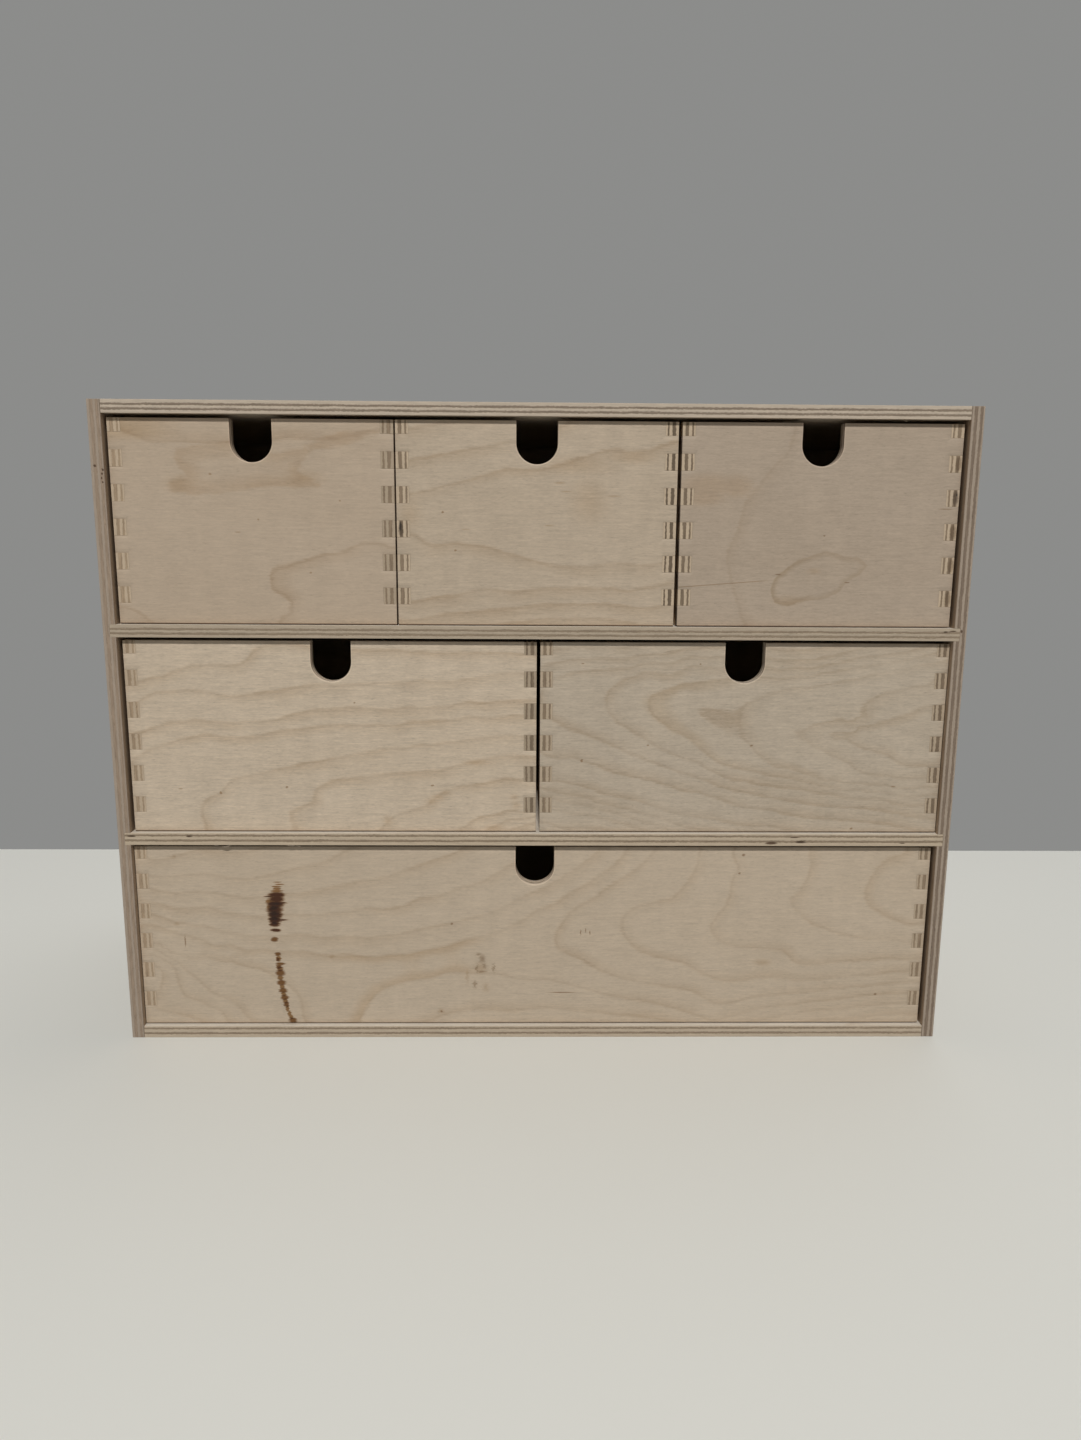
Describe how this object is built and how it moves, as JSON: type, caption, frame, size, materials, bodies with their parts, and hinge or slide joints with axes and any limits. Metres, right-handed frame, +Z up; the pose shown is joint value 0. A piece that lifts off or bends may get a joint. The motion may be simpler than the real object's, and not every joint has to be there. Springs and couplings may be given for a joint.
{
  "type": "desktop mini drawers",
  "caption": "Small plywood chest of drawers for a desk or shelf: a grooved and housed case with finger-jointed drawers that slide out by a finger slot at the top of each front.",
  "frame": {"origin": "middle of the base, on the surface the chest stands on", "axes": "+X to the right seen from the front, +Y from the front to the back, +Z up; the drawers open towards -Y"},
  "size_m": [0.42, 0.18, 0.32],
  "materials": {
    "case_board": "unfinished sanded birch plywood, five plies showing at the edges",
    "drawer_board": "unfinished sanded birch plywood, rotary-cut figure, finger ends show five plies",
    "thin_board": "unfinished sanded thin birch plywood of three plies"
  },
  "bodies": {
    "case": {"case_side_left": "case_board", "case_side_right": "case_board", "case_top": "case_board", "case_bottom": "case_board", "shelf_lower": "case_board", "shelf_upper": "case_board", "case_back": "thin_board"},
    "drawer_bottom": {"drawer_bottom_front": "drawer_board", "drawer_bottom_back": "drawer_board", "drawer_bottom_side_left": "drawer_board", "drawer_bottom_side_right": "drawer_board", "drawer_bottom_floor": "thin_board"},
    "drawer_middle_left": {"drawer_middle_left_front": "drawer_board", "drawer_middle_left_back": "drawer_board", "drawer_middle_left_side_left": "drawer_board", "drawer_middle_left_side_right": "drawer_board", "drawer_middle_left_floor": "thin_board"},
    "drawer_middle_right": {"drawer_middle_right_front": "drawer_board", "drawer_middle_right_back": "drawer_board", "drawer_middle_right_side_left": "drawer_board", "drawer_middle_right_side_right": "drawer_board", "drawer_middle_right_floor": "thin_board"},
    "drawer_top_left": {"drawer_top_left_front": "drawer_board", "drawer_top_left_back": "drawer_board", "drawer_top_left_side_left": "drawer_board", "drawer_top_left_side_right": "drawer_board", "drawer_top_left_floor": "thin_board"},
    "drawer_top_centre": {"drawer_top_centre_front": "drawer_board", "drawer_top_centre_back": "drawer_board", "drawer_top_centre_side_left": "drawer_board", "drawer_top_centre_side_right": "drawer_board", "drawer_top_centre_floor": "thin_board"},
    "drawer_top_right": {"drawer_top_right_front": "drawer_board", "drawer_top_right_back": "drawer_board", "drawer_top_right_side_left": "drawer_board", "drawer_top_right_side_right": "drawer_board", "drawer_top_right_floor": "thin_board"}
  },
  "joints": [
    {"name": "drawer_bottom_slide", "type": "slide", "parent": "case", "child": "drawer_bottom", "axis": [0, -1, 0], "range_m": [0, 0.15]},
    {"name": "drawer_middle_left_slide", "type": "slide", "parent": "case", "child": "drawer_middle_left", "axis": [0, -1, 0], "range_m": [0, 0.15]},
    {"name": "drawer_middle_right_slide", "type": "slide", "parent": "case", "child": "drawer_middle_right", "axis": [0, -1, 0], "range_m": [0, 0.15]},
    {"name": "drawer_top_left_slide", "type": "slide", "parent": "case", "child": "drawer_top_left", "axis": [0, -1, 0], "range_m": [0, 0.15]},
    {"name": "drawer_top_centre_slide", "type": "slide", "parent": "case", "child": "drawer_top_centre", "axis": [0, -1, 0], "range_m": [0, 0.15]},
    {"name": "drawer_top_right_slide", "type": "slide", "parent": "case", "child": "drawer_top_right", "axis": [0, -1, 0], "range_m": [0, 0.15]}
  ]
}
